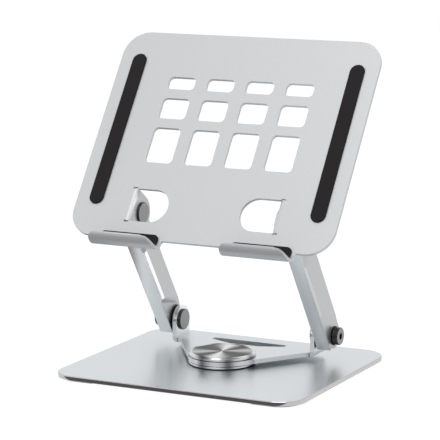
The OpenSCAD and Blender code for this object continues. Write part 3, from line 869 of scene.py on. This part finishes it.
class LAPTOPSTAND_OT_arms(bpy.types.Operator):
    """Build and finish the two channel arms, each with a raised panel on its right side wall."""

    bl_idname = "laptopstand.arms"
    bl_label = "Build arms"

    # Places in an arm's list of finishes: the front wall, painted lighter, and the long bend, which carries
    # a painted highlight
    LIT_FRONT_WALL = 1
    HIGHLIGHT_BEND = 2

    def execute(self, context):
        finish, sizes = context.scene.stand_finish, context.scene.stand_arms
        satin = blasted_metal("Satin channel", finish.arm_colour, finish, **SATIN_ARM)
        # Painted light: a lighter copy of the satin for the front walls
        front = blasted_metal("Painted light front", finish.front_light_colour, finish, **SATIN_ARM)
        # Painted highlight: a near-white polished finish on the left arm's bend facet
        highlight_painted = plain_material(
            "Painted highlight bend", finish.bend_highlight_colour, finish, roughness=0.15, metallic=1.0,
        )
        # Fainter painted highlight: a lighter satin on the right arm's long bend
        soft = blasted_metal("Painted soft highlight bend", finish.soft_bend_highlight_colour, finish, **SATIN_ARM)
        inner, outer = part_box("lower_friction_washers"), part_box("lower_head_washers")
        cap = HEAD_WASHER_THICKNESS + sizes.play
        left_arm = (outer[0][0] + cap, inner[0][0] - sizes.play)
        right_arm = (inner[1][0] + sizes.play, outer[1][0] - cap)
        # For each arm: the X of its left and right faces at the hinges, how far its panel stands out, the
        # width of its facet and the finish of its long bend, which is a painted highlight
        for node, (left, right), rise, facet, bend in (
            ("left_arm", left_arm, sizes.left_rise, sizes.facet, highlight_painted),
            ("right_arm", right_arm, sizes.right_rise, 0.0, soft),
        ):
            arm = self.make_arm(node + "_channel", right - left, (*rise, facet), sizes)
            self.mark_faces(arm)
            self.set_up(arm, left)
            for material in (satin, front, bend):
                arm.data.materials.append(material)
            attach(arm, "arms")
            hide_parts(node)
        return {"FINISHED"}

    def length(self):
        """Distance between an arm's two hinges."""
        return (hinge_centre("upper_head_washers") - hinge_centre("lower_head_washers")).length

    def set_up(self, arm, left):
        """Stands an arm on its lower hinge and leans it forward to the upper one."""
        low, high = hinge_centre("lower_head_washers"), hinge_centre("upper_head_washers")
        lean = math.atan2(low.y - high.y, high.z - low.z)
        arm.data.transform(Matrix.Translation((left, low.y, low.z)) @ Matrix.Rotation(lean, 4, "X"))

    def make_arm(self, name, width, form, sizes):
        """One arm, drawn upright on its lower hinge: sheet bent to a channel, open at the rear."""
        past_view, past_bore, bore_points = 0.02, 0.01, 16
        arm = self.bar(name, width, form, 0.0, sizes)
        view = prism("Side view", self.side_view(sizes), -past_view, width + past_view, sideways)
        combine(arm, "INTERSECT", view)
        cutters = [self.bar("Inside", width, form, sizes.thickness, sizes)]
        for at in (0.0, self.length()):
            circle = arc((0.0, at), sizes.bore_radius, 0, 360 - 360 / bore_points, bore_points - 1)
            cutters.append(prism("Bore", circle, -past_bore, width + past_bore, sideways))
        combine(arm, "DIFFERENCE", *cutters)
        shade(arm, sharp_from=13)
        return arm

    def mark_faces(self, arm):
        """Picks out the front wall, painted lighter, and the long bend on its right, which carries a
        painted highlight, by the way their faces look.
        """
        bend_forward, bend_right, most_up, wall_forward = 0.15, 0.05, 0.02, 0.7
        for face in arm.data.polygons:
            right, behind, up = face.normal
            if -behind > bend_forward and right > bend_right and abs(up) < most_up:
                face.material_index = self.HIGHLIGHT_BEND
            elif -behind > wall_forward:
                face.material_index = self.LIT_FRONT_WALL

    def side_view(self, sizes):
        """Outline of an arm from the side: a straight front and a round end at each hinge."""
        length, radius, front = self.length(), sizes.end_radius, sizes.front
        low = math.degrees(math.asin(sizes.over_low / radius))
        high = math.degrees(math.asin(sizes.over_high / radius))
        outline = [(-front, -sizes.over_low), (-front, length + sizes.over_high)]
        outline += arc((0.0, length), radius, 180 - high, 0, steps=18)
        return outline + arc((0.0, 0.0), radius, 0, low - 180, steps=18)

    def bar(self, name, width, form, inset, sizes):
        """Bar inset from an arm's faces, longer and deeper than the arm."""
        rise_front, rise_rear, facet = form
        length, rear, least_bend = self.length(), 2 * sizes.end_radius, 0.0003
        front, right = inset - sizes.front, width - inset
        proud = right + rise_front
        left_bend = max(sizes.left_bend - inset, least_bend)
        drop = (rise_front - rise_rear) / (sizes.end_radius + sizes.front)
        section = [(proud - drop * (rear - front), rear), (inset, rear)]
        section += arc((inset + left_bend, front + left_bend), left_bend, 180, 270)
        if facet:
            bend, turn = sizes.facet_bend, sizes.facet_turn
            side = proud - facet * math.cos(turn)
            section += arc((side - bend, front + bend), bend, 270, 270 + math.degrees(turn), steps=4)
            section.append((proud, section[-1][1] + facet * math.sin(turn)))
        else:
            bend = sizes.right_bend - inset
            section += arc((proud - bend, front + bend), bend, 270, 360)
        past = rear + inset
        bar = prism(name, section, -past, length + past, upright)
        flat = [(inset, -2 * sizes.front), (right, -2 * sizes.front), (right, 2 * rear), (inset, 2 * rear)]
        core = prism("Core", flat, -2 * past, length + 2 * past, upright)
        return combine(bar, "INTERSECT", combine(core, "UNION", self.panel(right, rise_front, drop, sizes)))

    def panel(self, right, rise_front, drop, sizes):
        """Raised panel. Its ends run at 45 degrees to the arm, and rise in a soft S."""
        steps, overlap, root, past_side = 8, 0.001, 0.4, 0.0005
        levels = [(i / steps, (3 - 2 * i / steps) * (i / steps) ** 2) for i in range(steps + 1)]
        levels[0], levels[-1] = (0.0, -overlap), (1.0, 1.0 + overlap)
        levels = [(0.0, -root), *levels, (1.0, 1.0 + root)]
        front, rear, length = -sizes.front - past_side, sizes.end_radius + past_side, self.length()
        vertices = []
        for along, share in levels:
            line = sizes.panel_start + along * sizes.panel_end
            near, far = (right + share * (rise_front - drop * (y + sizes.front)) for y in (front, rear))
            vertices += [
                (near, front, line - front), (far, rear, line - rear),
                (far, rear, length - line + rear), (near, front, length - line + front),
            ]
        top = len(vertices) - 4
        faces = [(0, 1, 2, 3), (top, top + 1, top + 2, top + 3)]
        for i in range(0, top, 4):
            for j in range(4):
                a, b = i + j, i + (j + 1) % 4
                faces += [(a, b, b + 4), (a, b + 4, a + 4)]
        return solid("Panel", vertices, faces)


class LAPTOPSTAND_OT_base_plate(bpy.types.Operator):
    """Finish the base plate in satin aluminium."""

    bl_idname = "laptopstand.base_plate"
    bl_label = "Finish base plate"

    def execute(self, context):
        settings = context.scene.stand_finish
        plate = blasted_metal("Satin plate", settings.base_colour, settings, **SATIN_PLATE)
        # Painted dark reflection on the plate's cut edges
        add_darkened_cut_edge(plate, settings, "Z", settings.edge_dark_reflection_colour, roughness=0.12)
        dress(("base_plate",), plate)
        return {"FINISHED"}


class LAPTOPSTAND_OT_swivel(bpy.types.Operator):
    """Finish the swivel's turned ring and spun cap."""

    bl_idname = "laptopstand.swivel"
    bl_label = "Finish swivel"

    def execute(self, context):
        # The spun face carries painted reflection wedges, and the side walls carry painted reflection bands
        dress(("lower_ring", "swivel_cap"), spun_metal("Spun steel", context.scene.stand_finish))
        return {"FINISHED"}


class LAPTOPSTAND_OT_fasteners(bpy.types.Operator):
    """Finish the nuts, bolts, screw and spacers in plain steel."""

    bl_idname = "laptopstand.fasteners"
    bl_label = "Finish fasteners"

    def execute(self, context):
        settings = context.scene.stand_finish
        colour = settings.fastener_colour
        steel = plain_material("Plain steel", colour, settings, roughness=0.35, metallic=0.9, grain=0.1)
        # Painted shade on the turned sides of the nuts and bolts
        add_darkened_cut_edge(steel, settings, "X", settings.side_shade_colour, roughness=0.2)
        dress(NUTS + BOLTS + SPACERS, steel)
        return {"FINISHED"}


class LAPTOPSTAND_OT_washers(bpy.types.Operator):
    """Finish the washers in black nylon."""

    bl_idname = "laptopstand.washers"
    bl_label = "Finish washers"

    def execute(self, context):
        settings = context.scene.stand_finish
        colour = settings.washer_colour
        nylon = plain_material("Black nylon", colour, settings, roughness=0.5, specular=0.1)
        dress(BLACK_WASHERS, nylon)
        return {"FINISHED"}


class LAPTOPSTAND_OT_rubber(bpy.types.Operator):
    """Finish the feet, grip strips and hook liners in black rubber, the liners cut like the hooks."""

    bl_idname = "laptopstand.rubber"
    bl_label = "Finish rubber"

    def execute(self, context):
        settings, hooks = context.scene.stand_finish, context.scene.stand_hooks
        colour = settings.rubber_colour
        rubber = plain_material("Black rubber", colour, settings, roughness=0.7, grain=0.15, specular=0.2)
        dress(FEET + GRIP_STRIPS, rubber)
        for side, name in ((-1, "left_hook_liner"), (1, "right_hook_liner")):
            cutter = hook_cutter(hooks, side, hooks.liner_inset)
            recut(name, name + "_rounded", "tray", "grip_rubber", rubber, cutter)
        return {"FINISHED"}


class LAPTOPSTAND_OT_stage(bpy.types.Operator):
    """Set up the floor, lights, world and camera."""

    bl_idname = "laptopstand.stage"
    bl_label = "Set the stage"

    def execute(self, context):
        settings = context.scene.stand_stage
        self.make_floor(settings)
        self.make_world(context, settings)
        aim = settings.light_aim
        self.make_lamp("Key", settings.key_place, settings.key_size, settings.key_power, aim)
        self.make_lamp("Left fill", settings.fill_place, settings.fill_size, settings.fill_power, aim)
        self.make_flag(settings)
        self.make_camera(context, settings)
        context.scene.view_settings.view_transform = "Standard"
        return {"FINISHED"}

    def make_sheet(self, name, corners, faces, material):
        """Sheet of flat faces, without thickness."""
        mesh = bpy.data.meshes.new(name)
        mesh.from_pydata(corners, [], faces)
        mesh.materials.append(material)
        return add_object(name, mesh)

    def make_floor(self, settings):
        half = settings.floor_size / 2
        corners = [(-half, -half, 0.0), (half, -half, 0.0), (half, half, 0.0), (-half, half, 0.0)]
        floor = self.make_sheet("Floor", corners, [(0, 1, 2, 3)], self.floor_material(settings))

    def floor_material(self, settings):
        """White floor that shows white to the camera where no shadow falls on it."""
        material, tree, _ = new_material("White floor", {
            "Base Color": (0.93, 0.93, 0.93, 1.0), "Roughness": 0.9, "Specular IOR Level": 0.0,
        })
        white = add_node(tree, "ShaderNodeEmission", {"Strength": settings.floor_white})
        share = math_node(tree, "MULTIPLY", seen_as_background(tree), 1.0 - settings.shadow_share)
        lay_over(tree, share, white.outputs["Emission"])
        return material

    def make_world(self, context, settings):
        """White light from all round, behind a plain white background."""
        world = bpy.data.worlds.new("White studio")
        context.scene.world = world
        world.use_nodes = True
        tree = world.node_tree
        tree.nodes.clear()
        light, white = (
            add_node(tree, "ShaderNodeBackground", {"Color": WHITE, "Strength": strength})
            for strength in (settings.world_strength, 1.0)
        )
        outputs = (light.outputs["Background"], white.outputs["Background"])
        shown = mix_shaders(tree, seen_as_background(tree), *outputs)
        add_node(tree, "ShaderNodeOutputWorld", {"Surface": shown})

    def make_flag(self, settings):
        """Dark flag low in front, seen only by reflections: it draws the polished edges."""
        height, rise, reach = 0.0002, settings.flag_height, settings.flag_reach
        near, far, beside = -settings.flag_near, -reach, -settings.flag_beside
        behind = near + settings.flag_strip
        corners = [
            (-reach, near, height), (reach, near, height), (reach, far, height), (-reach, far, height),
            (reach, far, rise), (-reach, far, rise),
            (-reach, behind, height), (beside, behind, height), (beside, near, height),
        ]
        felt, _, _ = new_material("Dark felt", {
            "Base Color": (0.2, 0.2, 0.2, 1.0), "Roughness": 1.0, "Specular IOR Level": 0.0,
        })
        flag = self.make_sheet("Dark flag", corners, [(0, 1, 2, 3), (3, 2, 4, 5), (0, 8, 7, 6)], felt)
        for rays in ("camera", "diffuse", "transmission", "shadow", "volume_scatter"):
            setattr(flag, f"visible_{rays}", False)

    def make_lamp(self, name, place, size, power, aim):
        """Square area light that faces a point."""
        light = bpy.data.lights.new(name, "AREA")
        light.shape = "SQUARE"
        light.size = size
        light.energy = power
        lamp = add_object(name, light)
        lamp.location = place
        lamp.rotation_euler = (Vector(aim) - Vector(place)).to_track_quat("-Z", "Y").to_euler()

    def make_camera(self, context, settings):
        back = Vector((
            math.sin(settings.azimuth) * math.cos(settings.elevation),
            -math.cos(settings.azimuth) * math.cos(settings.elevation),
            math.sin(settings.elevation),
        ))
        camera = add_object("Camera", bpy.data.cameras.new("Camera"))
        camera.data.lens = settings.focal_length
        camera.data.sensor_width = 36.0
        camera.data.clip_end = 50.0
        camera.location = Vector(settings.target) + back * settings.distance
        camera.rotation_euler = back.to_track_quat("Z", "Y").to_euler()
        camera.rotation_euler.rotate_axis("Z", settings.roll)
        context.scene.camera = camera


class LAPTOPSTAND_PT_panel(bpy.types.Panel):
    """Lists the finishing steps and their settings."""

    bl_idname = "LAPTOPSTAND_PT_panel"
    bl_label = "Laptop Stand"
    bl_space_type = "VIEW_3D"
    bl_region_type = "UI"
    bl_category = "Laptop Stand"

    def draw(self, context):
        for name, group in SETTINGS.items():
            box = self.layout.box()
            for setting in group.__annotations__:
                box.prop(getattr(context.scene, name), setting)
        for operator in OPERATORS:
            self.layout.operator(operator.bl_idname)


SETTINGS = {
    "stand_finish": FinishSettings,
    "stand_arms": ArmSettings,
    "stand_slot": SlotSettings,
    "stand_hooks": HookSettings,
    "stand_stage": StageSettings,
}
OPERATORS = (
    LAPTOPSTAND_OT_tray,
    LAPTOPSTAND_OT_bracket,
    LAPTOPSTAND_OT_arms,
    LAPTOPSTAND_OT_base_plate,
    LAPTOPSTAND_OT_swivel,
    LAPTOPSTAND_OT_fasteners,
    LAPTOPSTAND_OT_washers,
    LAPTOPSTAND_OT_rubber,
    LAPTOPSTAND_OT_stage,
)
CLASSES = (*SETTINGS.values(), *OPERATORS, LAPTOPSTAND_PT_panel)


def register():
    for cls in CLASSES:
        bpy.utils.register_class(cls)
    for name, group in SETTINGS.items():
        setattr(bpy.types.Scene, name, bpy.props.PointerProperty(type=group))


def unregister():
    for name in SETTINGS:
        delattr(bpy.types.Scene, name)
    for cls in reversed(CLASSES):
        bpy.utils.unregister_class(cls)


def main():
    register()
    for operator in OPERATORS:
        group, name = operator.bl_idname.split(".")
        getattr(getattr(bpy.ops, group), name)()


if __name__ == "__main__":
    main()
